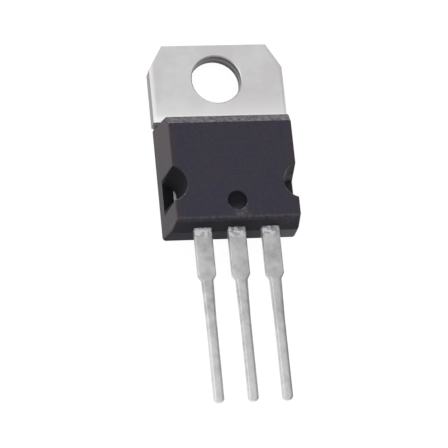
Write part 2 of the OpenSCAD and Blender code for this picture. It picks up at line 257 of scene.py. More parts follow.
def soften(obj):
    """Lets light run round the small edge radii and keeps the flat faces flat."""
    smooth = obj.modifiers.new("smooth by angle", "NODES")
    smooth.node_group = bpy.data.node_groups.get("smooth_by_angle") or smoothing_tree()
    obj.modifiers.new("flat faces", "WEIGHTED_NORMAL").keep_sharp = True


def smoothing_tree():
    """Welds a mesh and shades it smooth, but for its sharp edges."""
    tree = bpy.data.node_groups.new("smooth_by_angle", "GeometryNodeTree")
    for in_out in ("INPUT", "OUTPUT"):
        tree.interface.new_socket(name="Mesh", in_out=in_out, socket_type="NodeSocketGeometry")
    given = add(tree, "NodeGroupInput")
    welded = add(tree, "GeometryNodeMergeByDistance", {"Geometry": given, "Distance": WELD})
    smooth = add(tree, "GeometryNodeSetShadeSmooth", {"Geometry": welded, "Shade Smooth": True})
    angle = add(tree, "GeometryNodeInputMeshEdgeAngle")
    sharp = add(tree, "FunctionNodeCompare", {"A": angle, "B": SHARP}, operation="GREATER_THAN")
    marked = add(tree, "GeometryNodeStoreNamedAttribute",
                 {"Geometry": smooth, "Name": "sharp_edge", "Value": sharp},
                 data_type="BOOLEAN", domain="EDGE")
    add(tree, "NodeGroupOutput", {"Mesh": marked})
    return tree


def dress(obj, material):
    """Gives a CAD node's object or a new piece its one material."""
    obj.data.materials.clear()
    obj.data.materials.append(material)


# Leads


# Rows along a lead, how many of them round its tip, and points round its section
LEAD_ROWS = 200
TIP_ROWS = 8
RING = 24
# Size of the lumps in the dipped tin
LUMP = 0.9 * MM

LEAD_SIZES = ("Middle", "Tip", "Mid height", "Length", "Half thickness", "Half narrow",
              "Half swollen", "Half wide", "Pad flare", "Swell start", "Taper start", "Taper end",
              "Pad start", "Pad flare end", "Edge radius", "Dipped radius", "Tip radius",
              "Tip edge", "Lumps")


def lead_tree():
    """Lead whose width, edges and tip follow from the distance to the tip.

    A tube of unit radius and unit row spacing is drawn out: its rows go to their distance
    from the tip, and each quarter of its ring goes to one corner of the section.
    """
    tree, given = new_tree("lead", LEAD_SIZES)
    line = add(tree, "GeometryNodeMeshLine", {"Count": LEAD_ROWS, "Offset": (0, 1, 0)})
    path = add(tree, "GeometryNodeMeshToCurve", {"Mesh": line})
    circle = add(tree, "GeometryNodeCurvePrimitiveCircle", {"Resolution": RING, "Radius": 1})
    ring = add(tree, "GeometryNodeTransform",
               {"Geometry": circle, "Rotation": (0, 0, math.pi / RING)})
    tube = add(tree, "GeometryNodeCurveToMesh",
               {"Curve": path, "Profile Curve": ring, "Fill Caps": True})
    position = add(tree, "GeometryNodeInputPosition")
    place = add(tree, "ShaderNodeSeparateXYZ", [position]).node.outputs
    row = place["Y"]

    # Distance from the tip: a quarter turn round the tip, then straight to the inner end
    turn = add(tree, "ShaderNodeMapRange",
               {"Value": row, "From Max": TIP_ROWS, "To Max": math.pi / 2})
    sine = add(tree, "ShaderNodeMath", [turn], operation="SINE")
    cosine = add(tree, "ShaderNodeMath", [turn], operation="COSINE")
    straight = add(tree, "ShaderNodeMath", [given["Length"], given["Tip radius"]],
                   operation="SUBTRACT")
    behind = add(tree, "ShaderNodeMapRange",
                 {"Value": row, "From Min": TIP_ROWS, "From Max": LEAD_ROWS - 1,
                  "To Max": straight})
    nose = add(tree, "ShaderNodeMath", [1.0, cosine], operation="SUBTRACT")
    distance = add(tree, "ShaderNodeMath", [nose, given["Tip radius"], behind],
                   operation="MULTIPLY_ADD")

    # Half width there, with the tin gathered below the shoulder, and half thickness, both
    # less what the rounded tip takes away
    tinned = add(tree, "ShaderNodeMapRange",
                 {"Value": distance, "From Min": given["Swell start"],
                  "From Max": given["Taper start"], "To Min": given["Half narrow"],
                  "To Max": given["Half swollen"]})
    taper = {"Value": distance, "From Min": given["Taper start"],
             "From Max": given["Taper end"]}
    blade = add(tree, "ShaderNodeMapRange",
                {**taper, "To Min": tinned, "To Max": given["Half wide"]})
    flare = add(tree, "ShaderNodeMapRange",
                {"Value": distance, "From Min": given["Pad start"],
                 "From Max": given["Pad flare end"], "To Max": given["Pad flare"]})
    wide = add(tree, "ShaderNodeMath", [blade, flare], operation="ADD")
    taken = add(tree, "ShaderNodeMath", [1.0, sine], operation="SUBTRACT")
    side_loss = add(tree, "ShaderNodeMath", [taken, given["Tip radius"]], operation="MULTIPLY")
    face_loss = add(tree, "ShaderNodeMath", [taken, given["Tip edge"]], operation="MULTIPLY")
    side = add(tree, "ShaderNodeMath", [wide, side_loss], operation="SUBTRACT")
    face = add(tree, "ShaderNodeMath", [given["Half thickness"], face_loss], operation="SUBTRACT")

    # Edge radius, and the lumps of the dipped tin that stand on it
    rule = add(tree, "ShaderNodeMapRange",
               {**taper, "To Min": given["Dipped radius"], "To Max": given["Edge radius"]})
    edge = add(tree, "ShaderNodeMath", [rule, face], operation="MINIMUM")
    dipped = add(tree, "ShaderNodeMapRange", {**taper, "To Min": given["Lumps"], "To Max": 0.0})
    across = add(tree, "ShaderNodeMath", [place["X"], wide, given["Middle"]],
                 operation="MULTIPLY_ADD")
    height = add(tree, "ShaderNodeMath", [place["Z"], face], operation="MULTIPLY")
    where = add(tree, "ShaderNodeCombineXYZ", [across, distance, height])
    noise = add(tree, "ShaderNodeTexNoise", {"Vector": where, "Scale": 1 / LUMP, "Detail": 2.0})
    swing = add(tree, "ShaderNodeMath", [noise, 0.5], operation="SUBTRACT")
    reach = add(tree, "ShaderNodeMath", [swing, dipped, edge], operation="MULTIPLY_ADD")

    # Each quarter of the ring goes to its corner and keeps the edge radius there
    corners = []
    for axis, half, middle in (("X", side, given["Middle"]), ("Z", face, given["Mid height"])):
        quarter = add(tree, "ShaderNodeMath", [place[axis]], operation="SIGN")
        inner = add(tree, "ShaderNodeMath", [half, edge], operation="SUBTRACT")
        centre = add(tree, "ShaderNodeMath", [quarter, inner, middle], operation="MULTIPLY_ADD")
        corners.append(add(tree, "ShaderNodeMath", [place[axis], reach, centre],
                           operation="MULTIPLY_ADD"))
    along = add(tree, "ShaderNodeMath", [given["Tip"], distance], operation="ADD")
    target = add(tree, "ShaderNodeCombineXYZ", [corners[0], along, corners[1]])
    shape = add(tree, "GeometryNodeSetPosition", {"Geometry": tube, "Position": target})
    return finish_tree(tree, shape, given)


def lead_mesh(name, sizes, middle, inner_end, pad_width, material):
    """Mesh of one lead, from its tip to its inner end, which may widen into a bond pad."""
    tree = bpy.data.node_groups.get("lead") or lead_tree()
    taper_end = LEAD_END - LEAD_LOW.y - sizes.wide_length
    pad_start = inner_end - LEAD_LOW.y - (sizes.pad_length if pad_width > sizes.wide else 0)
    return grow(name, tree, {
        "Middle": middle,
        "Tip": LEAD_LOW.y,
        "Mid height": (LEAD_LOW.z + LEAD_HIGH.z) / 2,
        "Length": inner_end - LEAD_LOW.y,
        "Half thickness": (LEAD_HIGH.z - LEAD_LOW.z) / 2,
        "Half narrow": sizes.narrow / 2,
        "Half swollen": sizes.narrow / 2 + sizes.swell,
        "Half wide": sizes.wide / 2,
        "Pad flare": (pad_width - sizes.wide) / 2,
        "Swell start": taper_end - sizes.taper - sizes.swell_length,
        "Taper start": taper_end - sizes.taper,
        "Taper end": taper_end,
        "Pad start": pad_start,
        "Pad flare end": pad_start + sizes.edge,
        "Edge radius": sizes.edge,
        "Dipped radius": sizes.dipped_edge,
        "Tip radius": sizes.tip,
        "Tip edge": sizes.tip_edge,
        "Lumps": sizes.lumps,
        "Material": material,
    })


class REGULATOR_OT_leads(bpy.types.Operator):
    """Draw the two outer leads, with the bond pads that they have inside the body"""
    bl_idname = "regulator.leads"
    bl_label = "Outer leads"

    def execute(self, context):
        sizes = context.scene.regulator_leads
        material = dipped_tin(sizes)
        for side, node in ((-1, "input_lead"), (1, "output_lead")):
            mesh = lead_mesh(node + "_tinned", sizes, side * PITCH, LEAD_HIGH.y,
                             LEAD_HIGH.x - LEAD_LOW.x, material)
            piece = mesh_object(node + "_tinned", mesh)
            soften(piece)
            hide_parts(node)
            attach(piece, BODY)
        return {"FINISHED"}


# Tab


# How far inside the body the stamped strap hands over to the centre lead's blade, and
# how far the two overlap there
HAND_OVER = 0.1 * MM
OVERLAP = 0.35 * MM


def strap_end(mesh):
    """Tab, header and strap alone: the centre lead beyond the hand-over is cut away."""
    bm = bmesh.new()
    bm.from_mesh(mesh)
    bmesh.ops.remove_doubles(bm, verts=bm.verts, dist=WELD)
    everything = bm.verts[:] + bm.edges[:] + bm.faces[:]
    cut = bmesh.ops.bisect_plane(bm, geom=everything, plane_co=(0, LEAD_END + HAND_OVER, 0),
                                 plane_no=(0, 1, 0), clear_inner=True)
    rim = [e for e in cut["geom_cut"] if isinstance(e, bmesh.types.BMEdge)]
    bmesh.ops.edgeloop_fill(bm, edges=rim)
    bmesh.ops.recalc_face_normals(bm, faces=bm.faces)
    stamped = bpy.data.meshes.new("stamped")
    bm.to_mesh(stamped)
    bm.free()
    return stamped


class REGULATOR_OT_tab(bpy.types.Operator):
    """Stamp the tab with its header and the centre lead, which are one piece of metal"""
    bl_idname = "regulator.tab"
    bl_label = "Tab and centre lead"

    def execute(self, context):
        sizes = context.scene.regulator_leads
        plated = tin_plate(context.scene.regulator_tab)
        dipped = dipped_tin(sizes)
        piece = mesh_object("tab_plated", strap_end(frame["nodes"]["tab_and_centre_lead"].data))
        dress(piece, plated)
        blade = mesh_object("centre_blade", lead_mesh(
            "centre_blade", sizes, 0.0, LEAD_END + HAND_OVER + OVERLAP, sizes.wide, dipped))
        joined = piece.modifiers.new("one piece", "BOOLEAN")
        joined.operation = "UNION"
        joined.solver = "EXACT"
        joined.material_mode = "TRANSFER"
        joined.object = blade
        mesh = evaluated(piece)
        remove(piece)
        remove(blade)
        piece = mesh_object("tab_plated", mesh)
        soften(piece)
        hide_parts("tab_and_centre_lead")
        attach(piece, BODY)
        return {"FINISHED"}


# Body


class REGULATOR_OT_body(bpy.types.Operator):
    """Finish the moulded body"""
    bl_idname = "regulator.body"
    bl_label = "Moulded body"

    def execute(self, context):
        body = frame["nodes"]["moulded_body"]
        dress(body, moulded_epoxy(context.scene.regulator_case))
        soften(body)
        return {"FINISHED"}


class REGULATOR_OT_chip(bpy.types.Operator):
    """Finish the chip, its solder and the bond wires inside the body"""
    bl_idname = "regulator.chip"
    bl_label = "Chip and bond wires"

    def execute(self, context):
        # Bright wire with faint marks of the die, and satin solder with fine grains
        wire = grained_metal("aluminium_drawn_wire", 0.06 * MM, "#d5d4d0", "#e6e5e2", 0.25)
        finishes = {
            "regulator_die": sawn_silicon(),
            "die_attach_solder": grained_metal("solder_reflowed", 0.15 * MM, "#9d9fa1",
                                               "#b9babb", 0.35),
            "input_bond_wire": wire,
            "output_bond_wire": wire,
            "ground_bond_wire": wire,
        }
        for name, material in finishes.items():
            dress(frame["nodes"][name], material)
            soften(frame["nodes"][name])
        return {"FINISHED"}


# Flash on the parting line, and broken resin in the tab's slits, partly flash and partly a stand-in
# for their shade


# Spacing of the points along a thread of flash, the sides of its section, and the size of
# its ragged teeth
FLASH_STEP = 0.06 * MM
FLASH_SIDES = 6
FLASH_TOOTH = 0.5 * MM
# How far the flash stops short of each lead and of the body's sides
FLASH_GAP = 0.06 * MM
FLASH_INSET = 0.65 * MM
# Width of the slits between the tab's ears and the body, and where they run in X
SLIT = 0.24 * MM
SLIT_X = (4.1 * MM, 5.02 * MM)
# Layers of resin in a slit, from the top down, and their spacing as a share of their radius
SLIT_LAYERS = 5
SLIT_SPACING = 1.4
# Height of the lowest teeth as a share of the highest, in the flash and in the slits
FLASH_LEAST = 0.25
SLIT_LEAST = 0.85


def flash_tree():
    """Ragged thread of resin along the edges of the start mesh."""
    tree, given = new_tree("mould_flash", ("Height", "Least", "Step"), ["Line"])
    curve = add(tree, "GeometryNodeMeshToCurve", {"Mesh": given["Line"]})
    points = add(tree, "GeometryNodeResampleCurve", {"Curve": curve, "Length": given["Step"]},
                 mode="LENGTH")
    noise = add(tree, "ShaderNodeTexNoise", {"Scale": 1 / FLASH_TOOTH, "Detail": 3.0})
    ragged = add(tree, "ShaderNodeMapRange",
                 {"Value": noise, "From Min": 0.35, "From Max": 0.65, "To Min": given["Least"]})
    height = add(tree, "ShaderNodeMath", [ragged, given["Height"]], operation="MULTIPLY")
    profile = add(tree, "GeometryNodeCurvePrimitiveCircle",
                  {"Resolution": FLASH_SIDES, "Radius": 1})
    thread = add(tree, "GeometryNodeCurveToMesh",
                 {"Curve": points, "Profile Curve": profile, "Scale": height, "Fill Caps": True})
    return finish_tree(tree, thread, given)


def cross_lines(stops, y, heights):
    """Straight stretches across the part, each from one stop to the next, at each height."""
    points = [(x, y, z) for z in heights for x in stops]
    mesh = bpy.data.meshes.new("cross_lines")
    mesh.from_pydata(points, [(i, i + 1) for i in range(0, len(points), 2)], [])
    return mesh


class REGULATOR_OT_flash(bpy.types.Operator):
    """Run the flash along the parting line at the lead end, and fill the tab's slits"""
    bl_idname = "regulator.flash"
    bl_label = "Mould flash"

    def execute(self, context):
        case = context.scene.regulator_case
        gap_half = context.scene.regulator_leads.wide / 2 + FLASH_GAP
        half_width = CASE_HIGH.x - FLASH_INSET
        stops = [-half_width]
        for middle in (-PITCH, 0.0, PITCH):
            stops += [middle - gap_half, middle + gap_half]
        stops.append(half_width)
        ends = [side * x for side in (-1, 1) for x in SLIT_X]
        layers = [TAB_FRONT - (1 + SLIT_SPACING * layer) * case.slit_flash_and_shade
                  for layer in range(SLIT_LAYERS)]
        lines = {
            "mould_flash": (cross_lines(stops, LEAD_END, [LEAD_LOW.z]), case.flash,
                            FLASH_LEAST, moulded_epoxy(case)),
            # The resin in the slits is partly flash and partly a filler standing in for the shade
            # deep in them, which also hides the floor behind
            "slit_flash_and_shade": (cross_lines(ends, CASE_HIGH.y + SLIT / 2, layers), case.slit_flash_and_shade,
                           SLIT_LEAST, broken_epoxy(case)),
        }
        tree = bpy.data.node_groups.get("mould_flash") or flash_tree()
        for name, (line, height, least, resin) in lines.items():
            mesh = grow(name, tree, {"Height": height, "Least": least, "Step": FLASH_STEP,
                                     "Material": resin}, line)
            piece = mesh_object(name, mesh)
            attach(piece, BODY)
        return {"FINISHED"}


# Materials


# Width of the tab's rolled front edges, and curvature of the tin's crown on a lead in 1 / m
ROLL = 0.25 * MM
CROWN = 0.4 / MM


def new_material(name):
    """New material with an empty tree."""
    made = bpy.data.materials.new(name)
    made.use_nodes = True
    made.node_tree.nodes.clear()
    return made, made.node_tree


def near_axis(tree, place, centre, full, none):
    """1 up to one distance from an upright axis, and 0 beyond the other."""
    flat = add(tree, "ShaderNodeVectorMath", [place, (1, 1, 0)], operation="MULTIPLY")
    away = add(tree, "ShaderNodeVectorMath", [flat, centre], operation="DISTANCE")
    return add(tree, "ShaderNodeMapRange", {"Value": away, "From Min": none, "From Max": full})


def tin_plate(colours):
    """Matte tin plate on rolled and stamped copper. The eye gets a soft, even grey with
    faint warm patches, a painted highlight beside the moulding and along the left side, and
    punched walls that are darker: sheared smooth in the middle and torn rough above and below,
    and in the hole darker towards the left."""
    made, tree = new_material("tin_plated_copper_stamped")
    coords = add(tree, "ShaderNodeTexCoord").node.outputs
    place = coords["Object"]
    along = add(tree, "ShaderNodeSeparateXYZ", [place]).node.outputs
    facing = add(tree, "ShaderNodeSeparateXYZ", [coords["Normal"]]).node.outputs

    # The plating froze in patches a few millimetres wide
    patches = add(tree, "ShaderNodeTexNoise",
                  {"Vector": place, "Scale": 1 / (2.4 * MM), "Detail": 3.0, "Roughness": 0.6})
    warmth = add(tree, "ShaderNodeMapRange", {"Value": patches, "From Min": 0.42, "From Max": 0.6})

    # Painted highlight: the front grows paler towards the body and palest right against it, and the
    # back has none
    in_front = add(tree, "ShaderNodeMath", [facing["Z"], 0.5], operation="GREATER_THAN")
    near_body_sheen = add(tree, "ShaderNodeMapRange",
                  {"Value": along["Y"], "From Min": -0.6 * MM, "From Max": -3.4 * MM,
                   "To Max": in_front})
    eased_sheen = add(tree, "ShaderNodeMath", [near_body_sheen, 2.0], operation="POWER")
    against = add(tree, "ShaderNodeMapRange",
                  {"Value": along["Y"], "From Min": -2.85 * MM, "From Max": -3.1 * MM,
                   "To Max": in_front})

    # Painted highlight along the left side, which faces the light from the left
    from_left = add(tree, "ShaderNodeMath", [along["X"], TAB_LOW.x], operation="SUBTRACT")
    left_side_sheen = add(tree, "ShaderNodeMapRange", {"Value": from_left, "From Min": 0.4 * MM,
                                               "From Max": 0.15 * MM, "To Max": 0.6})
    front = colours.tin
    for share, paint in ((warmth, colours.warm_tin), (eased_sheen, colours.near_body_sheen),
                         (against, colours.blasted), (left_side_sheen, colours.blasted)):
        front = add(tree, "ShaderNodeMix", {"Factor": share, "A": front, "B": paint},
                    data_type="RGBA")

    # The punch sheared the middle of each wall and tore the rest; in the hole the walls are also
    # darker towards the left
    rise = add(tree, "ShaderNodeMath", [along["Z"], TAB_FRONT / 2], operation="SUBTRACT")
    off_middle = add(tree, "ShaderNodeMath", [rise], operation="ABSOLUTE")
    leftward_darkening = add(tree, "ShaderNodeMapRange",
                    {"Value": along["X"], "From Min": 1.2 * MM, "From Max": -1.6 * MM,
                     "To Min": 0.35, "To Max": 0.85})
    tear = add(tree, "ShaderNodeMapRange",
               {"Value": off_middle, "From Min": 0.02 * MM, "From Max": 0.3 * MM,
                "To Min": leftward_darkening})
    wall = add(tree, "ShaderNodeMix", {"Factor": tear, "A": colours.sheared, "B": colours.torn},
               data_type="RGBA")
    in_hole = near_axis(tree, place, (0, 0, 0), HOLE_R + 0.05 * MM, HOLE_R + 0.3 * MM)
    side_wall = add(tree, "ShaderNodeMix", {"Factor": in_hole, "A": colours.sheared, "B": wall},
                    data_type="RGBA")
    level = add(tree, "ShaderNodeMath", [facing["Z"]], operation="ABSOLUTE")
    upright = add(tree, "ShaderNodeMapRange", {"Value": level, "From Min": 0.3, "From Max": 0.1})
    tone = add(tree, "ShaderNodeMix", {"Factor": upright, "A": front, "B": side_wall},
               data_type="RGBA")

    # Rolling lines 0.1 mm apart and the plating's own grain, too fine to show one by one
    stretched = add(tree, "ShaderNodeVectorMath", [place, (1, 0.03, 1)], operation="MULTIPLY")
    lines = add(tree, "ShaderNodeTexNoise", {"Vector": stretched, "Scale": 1 / (0.1 * MM)})
    grain = add(tree, "ShaderNodeTexNoise", {"Vector": place, "Scale": 1 / (0.22 * MM)})
    relief = add(tree, "ShaderNodeMath", [lines, grain], operation="ADD")

    # The blanking die rolled the front edges over
    off_axis = add(tree, "ShaderNodeMath", [along["X"]], operation="ABSOLUTE")
    from_side = add(tree, "ShaderNodeMath", [TAB_HIGH.x, off_axis], operation="SUBTRACT")
    from_top = add(tree, "ShaderNodeMath", [TAB_HIGH.y, along["Y"]], operation="SUBTRACT")
    folded = add(tree, "ShaderNodeCombineXYZ", [off_axis, along["Y"], 0.0])
    to_cut = add(tree, "ShaderNodeVectorMath", [folded, CUT_NORMAL], operation="DOT_PRODUCT")
    reach = add(tree, "ShaderNodeMath", [CUT_REACH, to_cut.node.outputs["Value"]],
                operation="SUBTRACT")
    nearest = add(tree, "ShaderNodeMath", [from_side, from_top], operation="MINIMUM")
    nearest = add(tree, "ShaderNodeMath", [nearest, reach], operation="MINIMUM")
    roll = add(tree, "ShaderNodeMapRange", {"Value": nearest, "From Max": ROLL},
               interpolation_type="SMOOTHSTEP")
    rolled = add(tree, "ShaderNodeBump", {"Height": roll, "Distance": 0.04 * MM})
    bump = add(tree, "ShaderNodeBump", {"Height": relief, "Strength": 0.4,
                                        "Distance": 0.01 * MM, "Normal": rolled})
    rough = add(tree, "ShaderNodeMapRange", {"Value": grain, "To Min": 0.36, "To Max": 0.46})
    shader = add(tree, "ShaderNodeBsdfPrincipled",
                 {"Base Color": tone, "Metallic": 1.0, "Roughness": rough, "Normal": bump})
    add(tree, "ShaderNodeOutputMaterial", {"Surface": shader})
    return made


def dipped_tin(colours):
    """Hot-dipped tin on the leads. The eye gets a soft grey, mottled where the tin froze,
    paler towards the tips, with painted glints and dark resin flecks where a lead leaves the body."""
    known = bpy.data.materials.get("tin_dipped_copper_lead")
    if known:
        return known
    made, tree = new_material("tin_dipped_copper_lead")
    place = add(tree, "ShaderNodeTexCoord").node.outputs["Object"]
    along = add(tree, "ShaderNodeSeparateXYZ", [place]).node.outputs

    # Thickness of the tin, which ran down to the tips and froze in lumps under a millimetre
    run = add(tree, "ShaderNodeMapRange",
              {"Value": along["Y"], "From Min": LEAD_END - 4.5 * MM, "From Max": LEAD_LOW.y,
               "To Max": 0.75})
    lumps = add(tree, "ShaderNodeTexNoise",
                {"Vector": place, "Scale": 1 / (0.8 * MM), "Detail": 3.0, "Roughness": 0.6})
    swing = add(tree, "ShaderNodeMapRange",
                {"Value": lumps, "From Min": 0.3, "From Max": 0.7, "To Min": -0.3, "To Max": 0.4})
    narrow = add(tree, "ShaderNodeMapRange",
                 {"Value": along["Y"], "From Min": LEAD_END - 3.4 * MM,
                  "From Max": LEAD_END - 4.4 * MM, "To Min": 0.4, "To Max": 1.0})
    thick = add(tree, "ShaderNodeMath", [swing, narrow, run], operation="MULTIPLY_ADD",
                use_clamp=True)
    clouds = add(tree, "ShaderNodeTexNoise",
                 {"Vector": place, "Scale": 1 / (1.1 * MM), "Detail": 4.0, "Roughness": 0.65})
    dull = add(tree, "ShaderNodeMapRange", {"Value": clouds, "From Min": 0.62, "From Max": 0.35})

    # Painted glints, which stand in for highlights, and resin stains fade out 0.8 mm from the body
    close = add(tree, "ShaderNodeMapRange",
                {"Value": along["Y"], "From Min": LEAD_END - 0.8 * MM,
                 "From Max": LEAD_END - 0.1 * MM})
    sparks = add(tree, "ShaderNodeTexNoise",
                 {"Vector": place, "Scale": 1 / (0.45 * MM), "Detail": 2.0, "Roughness": 0.7})
    bright = add(tree, "ShaderNodeMapRange", {"Value": sparks, "From Min": 0.46, "From Max": 0.52})
    dark = add(tree, "ShaderNodeMapRange",
               {"Value": sparks, "From Min": 0.41, "From Max": 0.35, "To Max": 0.3})
    glints = add(tree, "ShaderNodeMath", [bright, close], operation="MULTIPLY")
    stains = add(tree, "ShaderNodeMath", [dark, close], operation="MULTIPLY")
    tone = colours.tin
    for share, paint in ((dull, colours.dull_tin), (thick, colours.tip_tin),
                         (glints, colours.painted_glint), (stains, colours.fleck)):
        tone = add(tree, "ShaderNodeMix", {"Factor": share, "A": tone, "B": paint},
                   data_type="RGBA")

    # The tin drew itself into a crown across each lead, highest along its middle
    across = add(tree, "ShaderNodeMath", [along["X"], PITCH / 2, -PITCH / 2], operation="WRAP")
    fall = add(tree, "ShaderNodeMath", [across, across], operation="MULTIPLY")
    flatter = add(tree, "ShaderNodeMath", [narrow, 2.0], operation="POWER")
    crown = add(tree, "ShaderNodeMath", [fall, flatter], operation="MULTIPLY")
    height = add(tree, "ShaderNodeMath", [crown, -CROWN], operation="MULTIPLY")
    crowned = add(tree, "ShaderNodeBump", {"Height": height, "Distance": 1.0})
    bump = add(tree, "ShaderNodeBump", {"Height": lumps, "Strength": 0.3,
                                        "Distance": 0.05 * MM, "Normal": crowned})
    shader = add(tree, "ShaderNodeBsdfPrincipled",
                 {"Base Color": tone, "Metallic": 1.0, "Roughness": 0.42, "Normal": bump})
    add(tree, "ShaderNodeOutputMaterial", {"Surface": shader})
    return made


def moulded_epoxy(colours):
    """Silica-filled epoxy from a spark-eroded mould. The eye gets a matte bluish black
    with a fine grain, painted highlights on the tab-end bevel and along some edges, and
    painted shade, near black, in the pins' recesses and on the lead end."""
    known = bpy.data.materials.get("epoxy_compound_moulded")
    if known:
        return known
    made, tree = new_material("epoxy_compound_moulded")
    coords = add(tree, "ShaderNodeTexCoord").node.outputs
    place = coords["Object"]
    along = add(tree, "ShaderNodeSeparateXYZ", [place]).node.outputs
    facing = add(tree, "ShaderNodeSeparateXYZ", [coords["Normal"]]).node.outputs
    clouds = add(tree, "ShaderNodeTexNoise",
                 {"Vector": place, "Scale": 1 / (1.3 * MM), "Detail": 4.0, "Roughness": 0.6})
    grain = add(tree, "ShaderNodeTexNoise",
                {"Vector": place, "Scale": 1 / (0.1 * MM), "Detail": 2.0, "Roughness": 0.6})

    # The compound is browner towards the sides, in soft patches
    off_middle = add(tree, "ShaderNodeMath", [along["X"]], operation="ABSOLUTE")
    sideways = add(tree, "ShaderNodeMapRange",
                   {"Value": off_middle, "From Min": FRONT_HALF - 0.6 * MM,
                    "From Max": FRONT_HALF + 0.1 * MM})
    patches = add(tree, "ShaderNodeMapRange",
                  {"Value": clouds, "From Min": 0.4, "From Max": 0.65, "To Max": 0.5})
    warmth = add(tree, "ShaderNodeMath", [patches, sideways], operation="ADD", use_clamp=True)

    # Redder, uneven patches lie on the sides alone
    blots = add(tree, "ShaderNodeTexNoise",
                {"Vector": place, "Scale": 1 / (0.9 * MM), "Detail": 3.0, "Roughness": 0.6})
    blotched = add(tree, "ShaderNodeMapRange", {"Value": blots, "From Min": 0.45, "From Max": 0.62})
    plum = add(tree, "ShaderNodeMath", [blotched, sideways], operation="MULTIPLY")

    # Painted highlight in the pale scuff colour on the tab-end bevel, which faces the key light,
    # and on the front alone along its lead-end edge and on the patch below the pin's mark; noise
    # breaks it up, and elsewhere it is a faint mottling
    endways = add(tree, "ShaderNodeMapRange",
                  {"Value": facing["Y"], "From Min": 0.15, "From Max": 0.35})
    upwards = add(tree, "ShaderNodeMapRange",
                  {"Value": facing["Z"], "From Min": 0.3, "From Max": 0.5})
    bevel = add(tree, "ShaderNodeMath", [endways, upwards], operation="MULTIPLY")
    edge_y = add(tree, "ShaderNodeMath", [along["Y"], FRONT_END], operation="SUBTRACT")
    edge_off = add(tree, "ShaderNodeMath", [edge_y], operation="ABSOLUTE")
    front_edge = add(tree, "ShaderNodeMapRange",
                     {"Value": edge_off, "From Min": 0.3 * MM, "From Max": 0.1 * MM, "To Max": 0.4})
    under_mark = near_axis(tree, place, (0.2 * MM, MARK_Y - 1.05 * MM, 0), -0.5 * MM, 0.9 * MM)
    raised = add(tree, "ShaderNodeMath", [along["Z"], LEAD_LOW.z], operation="GREATER_THAN")
    sheen_and_scuffs = bevel
    for share in (front_edge, under_mark):
        shown = add(tree, "ShaderNodeMath", [share, raised], operation="MULTIPLY")
        sheen_and_scuffs = add(tree, "ShaderNodeMath", [sheen_and_scuffs, shown], operation="MAXIMUM")
    chips = add(tree, "ShaderNodeTexNoise",
                {"Vector": place, "Scale": 1 / (0.3 * MM), "Detail": 3.0, "Roughness": 0.7})
    wear = add(tree, "ShaderNodeMapRange",
               {"Value": chips, "From Min": 0.35, "From Max": 0.65, "To Min": 0.05, "To Max": 0.95})
    sheen_and_faint_wear = add(tree, "ShaderNodeMath", [sheen_and_scuffs, 0.06], operation="MAXIMUM")
    sheen_and_wear = add(tree, "ShaderNodeMath", [sheen_and_faint_wear, wear], operation="MULTIPLY")

    # Painted shade in the recesses, on the pin's mark and the notch walls: lighter on the mark's
    # lead side, and on the right notch towards the tab
    mark = near_axis(tree, place, (0, MARK_Y, 0), MARK_R - RIM, MARK_R)
    mark_shade_fade = add(tree, "ShaderNodeMapRange",
                     {"Value": along["Y"], "From Min": MARK_Y - 0.7 * MM,
                      "From Max": MARK_Y - 0.1 * MM, "To Min": 0.35})
    marked = add(tree, "ShaderNodeMath", [mark, raised], operation="MULTIPLY")
    recess_shade = add(tree, "ShaderNodeMath", [marked, mark_shade_fade], operation="MULTIPLY")
    for side in (-1, 1):
        notch = near_axis(tree, place, (side * NOTCH_X, NOTCH_Y, 0), NOTCH_R - RIM, NOTCH_R)
        above = add(tree, "ShaderNodeMath", [along["Z"], TAB_FRONT - RIM],
                    operation="GREATER_THAN")
        walls = add(tree, "ShaderNodeMath", [notch, above], operation="MULTIPLY")
        if side > 0:
            notch_shade_fade = add(tree, "ShaderNodeMapRange",
                         {"Value": along["Y"], "From Min": NOTCH_Y + 0.3 * MM,
                          "From Max": NOTCH_Y - 0.6 * MM, "To Min": 0.15})
            walls = add(tree, "ShaderNodeMath", [walls, notch_shade_fade], operation="MULTIPLY")
        recess_shade = add(tree, "ShaderNodeMath", [recess_shade, walls], operation="MAXIMUM")

    # Painted shade on the lead end, which faces away from the light, paler by the front and towards
    # the lower right
    lead_end = add(tree, "ShaderNodeMapRange",
                   {"Value": facing["Y"], "From Min": -0.5, "From Max": -0.8, "To Max": 0.85})
    below = add(tree, "ShaderNodeMapRange",
                {"Value": along["Z"], "From Min": CASE_HIGH.z, "From Max": CASE_HIGH.z - 0.6 * MM,
                 "To Min": 0.45})
    shade = add(tree, "ShaderNodeMath", [lead_end, below], operation="MULTIPLY")
    foot = add(tree, "ShaderNodeMapRange",
               {"Value": along["Z"], "From Min": LEAD_LOW.z, "From Max": LEAD_LOW.z - 0.1 * MM,
                "To Min": 0.55, "To Max": 0.1})
    rightward = add(tree, "ShaderNodeMapRange",
                    {"Value": along["X"], "From Min": 1.0 * MM, "From Max": 4.2 * MM,
                     "To Min": 1.0, "To Max": foot})
    shade = add(tree, "ShaderNodeMath", [shade, rightward], operation="MULTIPLY")
    # Painted shade of the recesses and of the lead end together
    dark = add(tree, "ShaderNodeMath", [recess_shade, shade], operation="MAXIMUM")
    tone = colours.epoxy
    for share, paint in ((warmth, colours.warm_epoxy), (plum, colours.plum_epoxy),
                         (sheen_and_wear, colours.scuff_and_sheen), (dark, colours.shaded)):
        tone = add(tree, "ShaderNodeMix", {"Factor": share, "A": tone, "B": paint},
                   data_type="RGBA")

